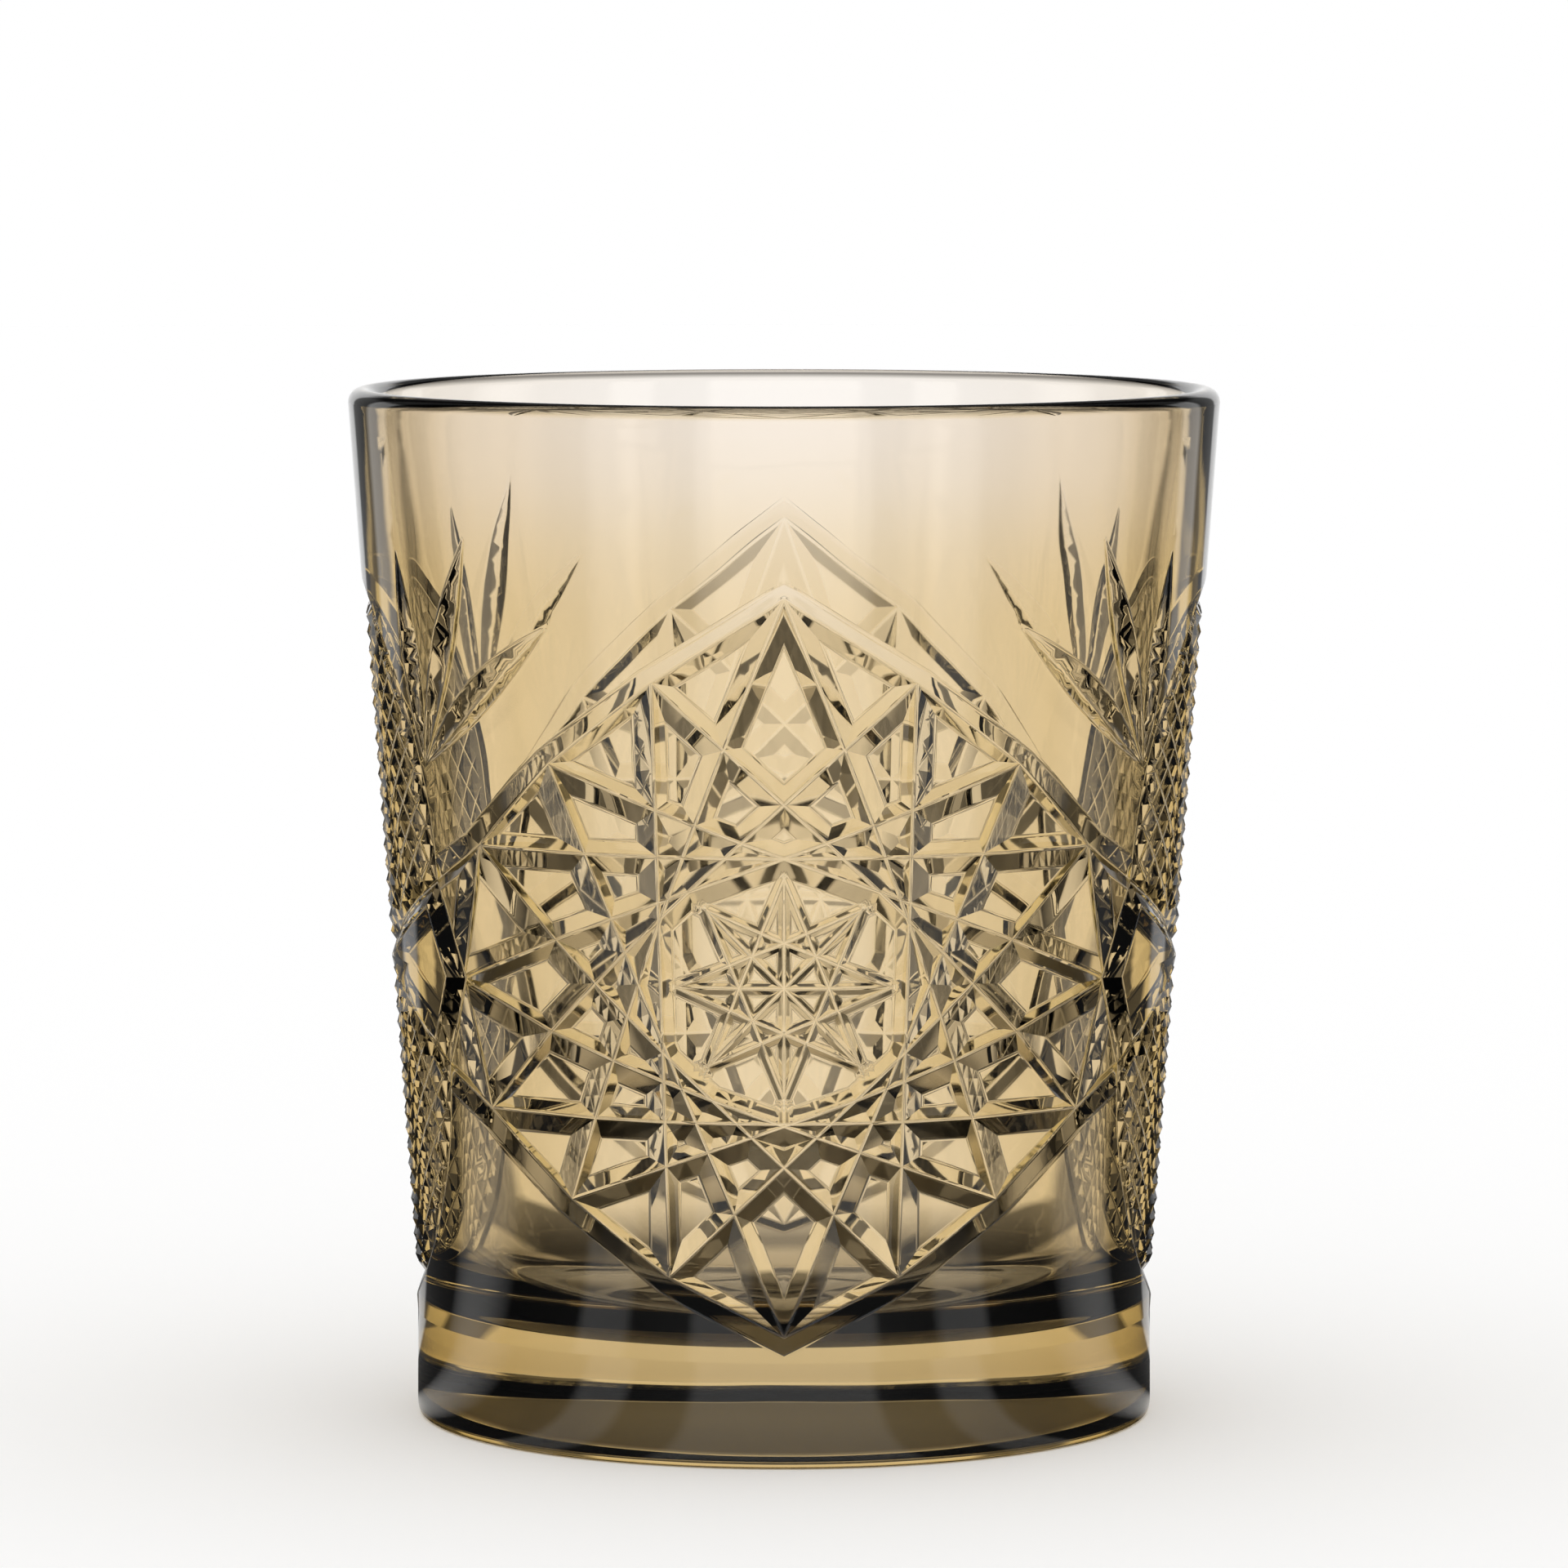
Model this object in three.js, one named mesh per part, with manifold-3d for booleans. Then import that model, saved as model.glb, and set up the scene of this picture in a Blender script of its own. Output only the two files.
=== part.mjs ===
// A double old fashioned glass: one thick tumbler of pressed, tinted glass.
// The straight flaring wall carries mitre cuts: a hobstar medallion front and back, a pair of
// arched, hatched shields at either side with lozenges between, and a fan of leaves in each corner.
// Millimetres and degrees, +Z up. The origin is on the table, under the middle of the glass.

import * as THREE from 'three';
import { mergeVertices } from 'three/addons/utils/BufferGeometryUtils.js';
import Module from 'manifold-3d';

const wasm = await Module();
wasm.setup();

// Body
const HEIGHT = 104;
const RIM_RADIUS = 44;
const WAIST_RADIUS = 37.2;
const WAIST_HEIGHT = 10.5;
const FOOT_RADIUS = 37.6;
const FOOT_CORNER = 4.8;
const LIP_THICKNESS = 2.8;
const WALL_THICKNESS = 5.2;
const FULL_WALL_HEIGHT = 80;
const FLOOR_THICKNESS = 11;
const FLOOR_CORNER = 9;
const REST_RING_OUTER = 34.2;
const REST_RING_INNER = 24;
const PUNT_DEPTH = 0.6;

// Cut pattern: plain margins above and below it, and the height of its middle
const RIM_MARGIN = 18.7;
const FOOT_MARGIN = 12.9;
const PATTERN_MIDDLE = 47;

// Mitre cuts: depth below the wall, and half the angle between their two flanks
const STAR_DEPTH = 1.05;
const BORDER_DEPTH = 0.95;
const FRAME_DEPTH = 1.2;
const LEAF_DEPTH = 1.1;
const MITRE_HALF_ANGLE = 58;

// Diamond hatching on the shields: size of a diamond, depth of its cuts, and how far its points
// lie below the wall
const HATCH_HEIGHT = 3.6;
const HATCH_WIDTH = 4;
const HATCH_DEPTH = 0.6;
const HATCH_SINK = 0.12;

// Facets round the body and along a cut, and how far a cutter stands out of the wall
const BODY_SEGMENTS = 48;
const CUT_STEP = 12;
const CURVE_STEPS = 4;
const ARCH_STEPS = 12;
const LEAF_STEPS = 4;
const CUTTER_LIFT = 0.6;
const STAMP_TOP = 1.5;
const SAME_POINT = 1e-3;
const NOTHING = 1e-9;

// The pattern is drawn on the wall as points (angle from the middle of a medallion, level).
// Level 1 is the top of the pattern, 0 its middle and -1 its bottom.
const STAR_TIPS = [
  [0, 1], [18.2, 0.783], [34.4, 0.567], [48.4, 0.342], [54, -0.012],
  [49.1, -0.381], [33.6, -0.622], [17.6, -0.833], [0, -1],
];
const STAR_SKIP = 6;
const SHIELD_ANGLE = 90;
const SHOULDER = [60.4, 0.232];
const HIP = [60.4, -0.276];
const SHIELD_TOP = 0.95;
const SHIELD_BOTTOM = -0.97;
const FAN_ROOT = [58.9, 0.535];
const FAN_TIPS = [[63.4, 1.09], [46.6, 1.14], [32.4, 0.93]];

const mitreSpread = Math.tan(THREE.MathUtils.degToRad(MITRE_HALF_ANGLE));
const arcPerDegree = THREE.MathUtils.degToRad(WAIST_RADIUS + RIM_RADIUS) / 2;
const hatchPitch = (HATCH_HEIGHT * HATCH_WIDTH) / Math.hypot(HATCH_HEIGHT, HATCH_WIDTH);
const lipRadius = LIP_THICKNESS / 2;
const lipHeight = HEIGHT - lipRadius;
const wallSlope = (RIM_RADIUS - WAIST_RADIUS) / (lipHeight - WAIST_HEIGHT);
const wallNormal = new THREE.Vector2(1, -wallSlope).normalize();

// Outside radius of the plain wall at a height.
function wallRadius(height) {
  return WAIST_RADIUS + wallSlope * (height - WAIST_HEIGHT);
}

// Height of a level of the pattern.
function levelHeight(level) {
  const reach = level > 0 ? HEIGHT - RIM_MARGIN - PATTERN_MIDDLE : PATTERN_MIDDLE - FOOT_MARGIN;
  return PATTERN_MIDDLE + level * reach;
}

// The body's profile, from the middle of the underside round the lip to the middle of the floor.
function bodyProfile() {
  const lipCentre = RIM_RADIUS - lipRadius;
  const cornerTop = FLOOR_THICKNESS + FLOOR_CORNER;
  const cornerCentre = wallRadius(cornerTop) - WALL_THICKNESS - FLOOR_CORNER;
  const fullWall = wallRadius(FULL_WALL_HEIGHT) - WALL_THICKNESS;
  const outline = new THREE.Path();
  outline.moveTo(0, PUNT_DEPTH);
  outline.quadraticCurveTo(REST_RING_INNER / 2, PUNT_DEPTH, REST_RING_INNER, 0);
  outline.lineTo(REST_RING_OUTER, 0);
  outline.bezierCurveTo(FOOT_RADIUS, 0, FOOT_RADIUS, 0, FOOT_RADIUS, FOOT_CORNER);
  outline.lineTo(WAIST_RADIUS, WAIST_HEIGHT);
  outline.lineTo(RIM_RADIUS, lipHeight);
  outline.absarc(lipCentre, lipHeight, lipRadius, 0, Math.PI, false);
  outline.quadraticCurveTo(fullWall, FULL_WALL_HEIGHT, cornerCentre + FLOOR_CORNER, cornerTop);
  outline.absarc(cornerCentre, cornerTop, FLOOR_CORNER, 0, -Math.PI / 2, true);
  outline.lineTo(0, FLOOR_THICKNESS);
  return outline.getPoints(CURVE_STEPS);
}

// A closed geometry as a solid: shared vertices merged, and slivers at the poles dropped.
function toSolid(geometry) {
  geometry.deleteAttribute('normal');
  geometry.deleteAttribute('uv');
  const merged = mergeVertices(geometry);
  const corners = merged.index.array;
  const kept = [];
  for (let i = 0; i < corners.length; i += 3) {
    const [a, b, c] = corners.slice(i, i + 3);
    if (a !== b && b !== c && c !== a) kept.push(a, b, c);
  }
  const vertProperties = new Float32Array(merged.attributes.position.array);
  const triVerts = new Uint32Array(kept);
  return new wasm.Manifold(new wasm.Mesh({ numProp: 3, vertProperties, triVerts }));
}

// A solid as a geometry.
function toGeometry(solid) {
  const mesh = solid.getMesh();
  const geometry = new THREE.BufferGeometry();
  geometry.setAttribute('position', new THREE.BufferAttribute(mesh.vertProperties, 3));
  geometry.setIndex(new THREE.BufferAttribute(mesh.triVerts, 1));
  geometry.computeVertexNormals();
  return geometry;
}

// Point of the wall at an angle and height, moved out along the wall's own normal.
function onWall(angle, height, out) {
  const turn = THREE.MathUtils.degToRad(angle);
  const radius = wallRadius(height) + out * wallNormal.x;
  return new THREE.Vector3(
    radius * Math.sin(turn), -radius * Math.cos(turn), height + out * wallNormal.y,
  );
}

// A mitre cutter along stations { angle, height, depth } on the wall. Its section is a triangle:
// the apex lies a depth below the wall, and both flanks open outwards to above the wall.
function mitreCutter(stations) {
  const positions = [];
  stations.forEach((station, i) => {
    const before = stations[Math.max(i - 1, 0)];
    const after = stations[Math.min(i + 1, stations.length - 1)];
    const along = onWall(after.angle, after.height, 0).sub(onWall(before.angle, before.height, 0));
    const surface = onWall(station.angle, station.height, 0);
    const outwards = onWall(station.angle, station.height, 1).sub(surface);
    const across = new THREE.Vector3().crossVectors(along, outwards).normalize();
    const half = (station.depth + CUTTER_LIFT) * mitreSpread;
    const top = onWall(station.angle, station.height, CUTTER_LIFT);
    positions.push(
      onWall(station.angle, station.height, -station.depth),
      top.clone().addScaledVector(across, half),
      top.clone().addScaledVector(across, -half),
    );
  });
  const index = [0, 1, 2];
  for (let i = 0; i + 1 < stations.length; i += 1) {
    for (let side = 0; side < 3; side += 1) {
      const a = 3 * i + side;
      const b = 3 * i + (side + 1) % 3;
      index.push(a, a + 3, b, b, a + 3, b + 3);
    }
  }
  const last = 3 * (stations.length - 1);
  index.push(last, last + 2, last + 1);
  const geometry = new THREE.BufferGeometry().setFromPoints(positions);
  geometry.setIndex(index);
  return toSolid(geometry);
}

// A cut of even depth through points [angle, level], in steps short enough to follow the round wall.
function straightCut(points, depth, place) {
  const stations = [];
  points.forEach(([angle, level], i) => {
    const [lastAngle, lastLevel] = points[Math.max(i - 1, 0)];
    const steps = Math.max(1, Math.ceil(Math.abs(angle - lastAngle) / CUT_STEP));
    for (let step = i === 0 ? steps : 1; step <= steps; step += 1) {
      stations.push({
        angle: place(THREE.MathUtils.lerp(lastAngle, angle, step / steps)),
        height: THREE.MathUtils.lerp(levelHeight(lastLevel), levelHeight(level), step / steps),
        depth,
      });
    }
  });
  return mitreCutter(stations);
}

// Tips of the hobstar all the way round: the right half, then its mirror image.
// They are points [x, y] of the flat drawing of the wall: arc length and height.
function starTips() {
  const left = STAR_TIPS.slice(1, -1).reverse().map(([angle, level]) => [-angle, level]);
  return [...STAR_TIPS, ...left].map(([angle, level]) => [angle * arcPerDegree, levelHeight(level)]);
}

// Signed distance from the line through two points of the flat drawing.
function lineDistance([ax, ay], [bx, by]) {
  const length = Math.hypot(bx - ax, by - ay);
  return ([x, y]) => ((bx - ax) * (y - ay) - (by - ay) * (x - ax)) / length;
}

// The part of a convex outline where a measure that is linear across it isn't above zero.
function clip(outline, measure) {
  const kept = [];
  outline.forEach((point, i) => {
    const next = outline[(i + 1) % outline.length];
    const here = measure(point);
    const there = measure(next);
    if (here <= NOTHING) kept.push(point);
    if (Math.min(here, there) < -NOTHING && Math.max(here, there) > NOTHING) {
      const share = here / (here - there);
      kept.push(point.map((value, axis) => THREE.MathUtils.lerp(value, next[axis], share)));
    }
  });
  const inside = kept.some((point) => measure(point) < -NOTHING);
  return inside && kept.length > 2 ? kept : [];
}

// A convex outline parted into cells along lines, each given by its distance measure.
function partCells(outline, lines) {
  return lines.reduce((pieces, distance) => pieces.flatMap((piece) => [
    clip(piece, distance),
    clip(piece, (point) => -distance(point)),
  ]).filter((piece) => piece.length > 2), [outline]);
}

// The faces of the relief over one cell between cuts, as outlines with the height of each corner
// over the wall. Each cut's flank climbs from its valley, the lowest one shows, and all end above
// the wall.
function cellFaces(cell, lines, depth, spread) {
  const middle = [0, 1].map((axis) => cell.reduce((sum, point) => sum + point[axis], 0) / cell.length);
  const rises = lines.map((distance) => {
    const side = Math.sign(distance(middle));
    return (point) => (side * distance(point)) / spread - depth;
  }).filter((rise) => cell.some((point) => rise(point) < CUTTER_LIFT));
  const faces = rises.map((rise) => {
    const others = rises.filter((other) => other !== rise);
    const below = others.reduce((face, other) => clip(face, (point) => rise(point) - other(point)), cell);
    return clip(below, (point) => rise(point) - CUTTER_LIFT).map((point) => [...point, rise(point)]);
  });
  const land = rises.reduce((face, rise) => clip(face, (point) => CUTTER_LIFT - rise(point)), cell);
  return [...faces, land.map((point) => [...point, CUTTER_LIFT])].filter((face) => face.length > 2);
}

// The medallion's relief: long cuts join each tip to the one some places on, and part the
// medallion into cells. The innermost cell is the hob.
function medallionFaces() {
  const tips = starTips();
  const lines = tips.map((tip, i) => lineDistance(tip, tips[(i + STAR_SKIP) % tips.length]));
  return partCells([...tips].reverse(), lines)
    .flatMap((cell) => cellFaces(cell, lines, STAR_DEPTH, mitreSpread));
}

// Points [angle, level] of the arch over a shield: half an ellipse from its springing over the
// crown to the other side.
function archPoints([springAngle, springLevel], crownLevel) {
  const points = [];
  for (let i = 0; i <= ARCH_STEPS; i += 1) {
    const turn = (Math.PI * i) / ARCH_STEPS;
    points.push([
      SHIELD_ANGLE - (SHIELD_ANGLE - springAngle) * Math.cos(turn),
      springLevel + (crownLevel - springLevel) * Math.sin(turn),
    ]);
  }
  return points;
}

// The hatching of one shield: cuts slanting both ways part it into diamonds that rise to points.
function hatchFaces(spring, crownLevel) {
  const corners = [...archPoints(spring, crownLevel), [SHIELD_ANGLE, 0]];
  const outline = corners.map(([angle, level]) => [angle * arcPerDegree, levelHeight(level)]);
  if (crownLevel > 0) outline.reverse();
  const middle = [SHIELD_ANGLE * arcPerDegree, levelHeight(0)];
  const lines = [1, -1].flatMap((hand) => {
    const lean = (hand * HATCH_HEIGHT) / HATCH_WIDTH;
    const feet = outline.map(([x, y]) => (y - middle[1] - lean * (x - middle[0])) / HATCH_HEIGHT);
    const first = Math.floor(Math.min(...feet));
    const count = Math.ceil(Math.max(...feet)) - first + 1;
    return Array.from({ length: count }, (_, i) => {
      const foot = middle[1] + (first + i) * HATCH_HEIGHT;
      return lineDistance([middle[0], foot], [middle[0] + 1, foot + lean]);
    });
  });
  const spread = hatchPitch / 2 / HATCH_DEPTH;
  return partCells(outline, lines)
    .flatMap((cell) => cellFaces(cell, lines, HATCH_DEPTH + HATCH_SINK, spread));
}

// A stamp that presses relief faces into the wall: closed at the sides and above.
function stampCutter(faces, place) {
  const flat = new THREE.BufferGeometry();
  const fans = faces.flatMap((face) => face.slice(2).flatMap((corner, i) => [face[0], face[i + 1], corner]));
  flat.setAttribute('position', new THREE.Float32BufferAttribute(fans.flat(), 3));
  const merged = mergeVertices(flat, SAME_POINT);
  const { position } = merged.attributes;
  const below = [];
  const above = [];
  for (let i = 0; i < position.count; i += 1) {
    const angle = place(position.getX(i) / arcPerDegree);
    below.push(onWall(angle, position.getY(i), position.getZ(i)));
    above.push(onWall(angle, position.getY(i), STAMP_TOP));
  }
  const corners = merged.index.array;
  const edges = new Map();
  const index = [];
  for (let i = 0; i < corners.length; i += 3) {
    const [a, b, c] = corners.slice(i, i + 3);
    if (a === b || b === c || c === a) continue;
    index.push(c, b, a, a + position.count, b + position.count, c + position.count);
    [[a, b], [b, c], [c, a]].forEach(([from, to]) => edges.set(`${from} ${to}`, [from, to]));
  }
  edges.forEach(([from, to]) => {
    if (edges.has(`${to} ${from}`)) return;
    index.push(from, to, to + position.count, from, to + position.count, from + position.count);
  });
  const geometry = new THREE.BufferGeometry().setFromPoints([...below, ...above]);
  geometry.setIndex(index);
  return toSolid(geometry);
}

// The cut along the arch over a shield.
function archCut(spring, crownLevel, place) {
  return mitreCutter(archPoints(spring, crownLevel).map(([angle, level]) => (
    { angle: place(angle), height: levelHeight(level), depth: FRAME_DEPTH }
  )));
}

// The cuts that frame one quarter: the medallion's border and the lozenge's inner sides.
function frameCuts(place) {
  const borders = [
    [...STAR_TIPS.slice(0, 4), SHOULDER],
    STAR_TIPS.slice(3, 6),
    [HIP, ...STAR_TIPS.slice(5)],
  ];
  const sides = [[SHOULDER, STAR_TIPS[4]], [HIP, STAR_TIPS[4]]];
  return [
    ...borders.map((points) => straightCut(points, BORDER_DEPTH, place)),
    ...sides.map((points) => straightCut(points, FRAME_DEPTH, place)),
  ];
}

// The shields at one side: their hatching, two arches, and the arms that cross between them.
function shieldCuts(place) {
  const across = ([angle, level]) => [2 * SHIELD_ANGLE - angle, level];
  const crossing = [SHIELD_ANGLE, 0];
  return [
    stampCutter(hatchFaces(SHOULDER, SHIELD_TOP), place),
    stampCutter(hatchFaces(HIP, SHIELD_BOTTOM), place),
    archCut(SHOULDER, SHIELD_TOP, place),
    archCut(HIP, SHIELD_BOTTOM, place),
    straightCut([SHOULDER, crossing, across(HIP)], FRAME_DEPTH, place),
    straightCut([HIP, crossing, across(SHOULDER)], FRAME_DEPTH, place),
  ];
}

// A fan of leaves: each cut swells from nothing at the root and runs out to a point at its tip.
function fanCuts(place) {
  return FAN_TIPS.map(([tipAngle, tipLevel]) => {
    const stations = [];
    for (let i = 0; i <= LEAF_STEPS; i += 1) {
      const share = i / LEAF_STEPS;
      stations.push({
        angle: place(THREE.MathUtils.lerp(FAN_ROOT[0], tipAngle, share)),
        height: levelHeight(THREE.MathUtils.lerp(FAN_ROOT[1], tipLevel, share)),
        depth: LEAF_DEPTH * Math.sin(Math.PI * share),
      });
    }
    return mitreCutter(stations);
  });
}

// All cuts on the wall: medallions front and back, shields at both sides, frames and fans in each quarter.
function wallCuts() {
  const faces = medallionFaces();
  return [0, 180].flatMap((turn) => {
    const right = (angle) => turn + angle;
    const left = (angle) => turn - angle;
    return [
      stampCutter(faces, right),
      ...shieldCuts(right),
      ...[right, left].flatMap((place) => [...frameCuts(place), ...fanCuts(place)]),
    ];
  });
}

function makeTumbler() {
  const halfFacet = Math.PI / BODY_SEGMENTS;
  const lathe = new THREE.LatheGeometry(bodyProfile(), BODY_SEGMENTS, halfFacet);
  lathe.rotateX(Math.PI / 2);
  const cut = wallCuts().reduce((body, cutter) => body.subtract(cutter), toSolid(lathe));
  const glass = new THREE.MeshStandardMaterial({ color: 0xd9bd8c, roughness: 0.05, metalness: 0 });
  const mesh = new THREE.Mesh(toGeometry(cut), glass);
  mesh.name = 'tumbler';
  return mesh;
}

const group = new THREE.Group();
group.add(makeTumbler());

export default group;
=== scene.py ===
from types import SimpleNamespace

import bpy
import numpy as np
from bpy.props import FloatProperty, FloatVectorProperty, IntProperty, PointerProperty
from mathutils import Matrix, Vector
from mathutils.geometry import delaunay_2d_cdt


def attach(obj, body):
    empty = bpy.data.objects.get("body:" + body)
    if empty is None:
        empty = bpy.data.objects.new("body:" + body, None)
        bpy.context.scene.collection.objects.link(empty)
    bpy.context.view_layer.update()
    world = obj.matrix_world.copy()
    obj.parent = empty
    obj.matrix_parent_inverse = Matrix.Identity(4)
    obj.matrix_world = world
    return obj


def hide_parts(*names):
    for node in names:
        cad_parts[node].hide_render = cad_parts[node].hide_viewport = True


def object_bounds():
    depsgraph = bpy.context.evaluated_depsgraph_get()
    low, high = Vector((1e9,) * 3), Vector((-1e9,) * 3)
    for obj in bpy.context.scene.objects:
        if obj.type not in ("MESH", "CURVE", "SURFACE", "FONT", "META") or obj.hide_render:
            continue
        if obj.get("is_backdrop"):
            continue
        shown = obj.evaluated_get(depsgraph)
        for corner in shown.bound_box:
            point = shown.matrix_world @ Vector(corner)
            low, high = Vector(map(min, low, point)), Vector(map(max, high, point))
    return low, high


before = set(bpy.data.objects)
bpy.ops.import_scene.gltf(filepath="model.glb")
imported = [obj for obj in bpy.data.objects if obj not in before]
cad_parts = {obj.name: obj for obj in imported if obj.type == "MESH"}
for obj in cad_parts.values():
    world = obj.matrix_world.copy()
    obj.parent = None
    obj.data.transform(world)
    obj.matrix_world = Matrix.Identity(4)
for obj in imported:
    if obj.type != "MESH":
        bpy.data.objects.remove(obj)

bl_info = {
    "name": "Cut Glass Tumbler",
    "version": (1, 0, 0),
    "blender": (4, 5, 0),
    "location": "View3D > Sidebar > Tumbler",
    "description": "A double old fashioned glass with mitre-cut stars, shields and fans",
    "category": "Add Mesh",
}

MM = 0.001
CAD_LOW, CAD_HIGH = (Vector(corner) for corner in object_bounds())

# Points of the cut pattern: degrees from the middle of a medallion, and level.
# Level 1 is the top of the pattern, 0 its middle and -1 its bottom.
STAR_TIPS = [
    (0, 1), (18.2, 0.783), (34.4, 0.567), (48.4, 0.342), (54, -0.012),
    (49.1, -0.381), (33.6, -0.622), (17.6, -0.833), (0, -1),
]
# Place in the list of the tip at the medallion's side
SIDE_TIP = 4
STAR_SKIP = 6
HOB_POINTS = 8
HOB_SKIP = 3
SHIELD_ANGLE = 90
SHOULDER = (60.4, 0.232)
HIP = (60.4, -0.276)
SHIELD_TOP = 0.95
SHIELD_BOTTOM = -0.97
FAN_ROOT = (58.9, 0.535)
FAN_TIPS = [(63.4, 1.09), (46.6, 1.14), (32.4, 0.93)]

# Fineness of the mesh: columns and rows of the plain wall in one quarter, and steps of curves
QUARTER_COLUMNS = 48
WALL_ROWS = 56
ARCH_STEPS = 20
LEAF_STEPS = 14
# Steps of the foot's profile: recess, ring, corner and band
FOOT_STEPS = (24, 5, 18, 12)
# Steps of the bowl's profile: rise to the lip, lip, wall, corner and floor
BOWL_STEPS = (3, 20, 60, 16, 8)
# Rows of the bowl's profile, counted from the cut wall over the lip, between which the coat ends
COAT_ROWS = (4.5, 13.5)

# Tolerances: millimetres in the drawing, and metres in the finished mesh
NOTHING = 1e-9
SAME_POINT = 2e-4
WELD = 1e-6

# Where a corner's normal is taken: share of the way to its triangle's middle, and half the step of the slope
NORMAL_INSET = 0.04
NORMAL_STEP = 5e-5

# Sockets of a Mix node, whose names repeat: two inputs and the result, for values and for colours
VALUE_A, VALUE_B, VALUE_RESULT = 2, 3, 0
COLOUR_A, COLOUR_B, COLOUR_RESULT = 6, 7, 2

# How bright glass shows the studio all round, by the sine of the angle from straight ahead or behind
PANELS = [
    (0, 1), (0.36, 1), (0.4, 0.22), (0.6, 0.15), (0.64, 0.9), (0.77, 0.9), (0.8, 0.1), (0.97, 0.06), (1, 0.9),
]
# Painted shade on the floor as glass shows it: how bright, from straight above at 0 to edge-on at 1
FLOOR_GLANCE = [(0, 0.8), (0.27, 0.8), (0.36, 0.33), (0.45, 0.33), (0.72, 1)]


def length(name, description, millimetres):
    """A property that holds a length, given in millimetres."""
    return FloatProperty(
        name=name, description=description, default=millimetres * MM, min=0, unit="LENGTH", precision=5
    )


def colour(name, description, default):
    """A property that holds a colour."""
    return FloatVectorProperty(
        name=name, description=description, default=default, subtype="COLOR", min=0, max=1
    )


class TumblerBody(bpy.types.PropertyGroup):
    """Sizes of the turned body."""

    height: FloatProperty(
        name="Height", description="Height over all", default=CAD_HIGH.z, min=0, unit="LENGTH", precision=5
    )
    rim_radius: FloatProperty(
        name="Rim radius", description="Outside radius at the lip", default=CAD_HIGH.x, min=0, unit="LENGTH",
        precision=5,
    )
    waist_radius: length("Waist radius", "Outside radius where the cut wall starts", 37.2)
    waist_height: length("Waist height", "Height at which the cut wall starts", 10.5)
    foot_radius: length("Foot radius", "Outside radius of the plain foot band", 37.25)
    foot_side: length("Foot side", "Height at which the foot's rounded corner ends", 2.2)
    foot_blend: length("Foot blend", "Height over which the foot band turns into the waist", 1)
    lip_thickness: length("Lip thickness", "Thickness of the rounded lip", 2.8)
    wall_thickness: length("Wall thickness", "Thickness of the wall low down", 5.2)
    full_wall_height: length(
        "Full wall height", "Height at which the wall starts to thin towards the lip", 80
    )
    floor_thickness: length("Floor thickness", "Thickness of the base at its middle", 11)
    floor_corner: length("Floor corner", "Radius between floor and wall inside", 9)
    ring_outer: length("Ring outside", "Outside radius of the flat ring that the glass stands on", 35.4)
    ring_inner: length("Ring inside", "Inside radius of the flat ring that the glass stands on", 24)
    punt_depth: length("Recess depth", "Depth of the recess under the base", 0.6)
    stipple_margin: length("Stipple margin", "How far the stippling reaches past the recess", 1)
    stipple_fade: length("Stipple fade", "Width over which the stippling fades out", 3)


class TumblerCuts(bpy.types.PropertyGroup):
    """Sizes of the cut pattern."""

    rim_margin: length("Rim margin", "From the rim down to the top of the pattern", 18.7)
    foot_margin: length("Foot margin", "From the table up to the bottom of the pattern", 12.9)
    middle: length("Middle", "Height of the middle of the pattern", 47)
    star_depth: length("Star depth", "Depth of the medallion's star cuts", 1.05)
    border_depth: length("Border depth", "Depth of the cuts round the medallions", 0.95)
    frame_depth: length("Frame depth", "Depth of the cuts round shields and lozenges", 1.2)
    leaf_depth: length("Leaf depth", "Depth of a fan's leaves at their middle", 1.1)
    hob_depth: length("Hob star depth", "Depth of the small star on each hob", 0.45)
    hatch_depth: length("Hatch depth", "Depth of the diamond hatching on the shields", 0.6)
    hatch_height: length("Hatch height", "Height of one diamond of the hatching", 3.6)
    hatch_width: length("Hatch width", "Width of one diamond of the hatching", 4)
    hatch_sink: length("Hatch sink", "How far the diamonds' points lie below the wall", 0.12)
    hob_radius: length("Hob star radius", "Radius of the points of the small star on each hob", 10.8)
    valley_round: length("Valley rounding", "Half width of the polished bottom of a cut", 0.22)
    edge_round: length("Edge rounding", "Depth over which the edge of a cut is rounded", 0.12)
    mitre_half_angle: FloatProperty(
        name="Mitre half angle", description="Half of the angle between a cut's two flanks",
        default=np.radians(58), min=0.1, max=1.5, subtype="ANGLE",
    )


class TumblerGlass(bpy.types.PropertyGroup):
    """Looks of the tinted glass."""

    deep_tint: colour("Deep tint", "Tint of the outside below the rim band", (0.88, 0.7, 0.44))
    pale_tint: colour("Pale tint", "Tint of the outside at the rim", (1, 0.91, 0.83))
    # Partly real and partly painted shade: the coat seen at a slant, darkened further towards the edges
    edge_tint_and_shade: colour("Edge tint", "Tint of the outside where it is seen edge-on", (0.7, 0.42, 0.05))
    # Painted shade: this tint darkens the stippled recess under the base
    recess_shade_tint: colour("Stipple tint", "Tint of the stippled recess under the base", (0.5, 0.36, 0.2))
    stipple_roughness: FloatProperty(
        name="Stipple roughness", description="Roughness of the stippled recess", default=0.65, min=0, max=1,
        subtype="FACTOR",
    )
    facing_blend: FloatProperty(
        name="Edge blend", description="How far the edge tint reaches in from the edge", default=0.68,
        min=0, max=1, subtype="FACTOR",
    )
    refraction: FloatProperty(
        name="Refraction", description="Refractive index of the glass", default=1.52, min=1
    )
    inner_tint: colour("Inner tint", "Colour that the body of the glass lets through", (0.6, 0.5, 0.1))
    inner_density: FloatProperty(
        name="Inner density", description="How strongly the body of the glass is coloured", default=10, min=0
    )
    fade_start: length("Fade start", "Height at which the tint starts to pale", 81)
    fade_end: length("Fade end", "Height at which the tint is palest", 98)


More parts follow.
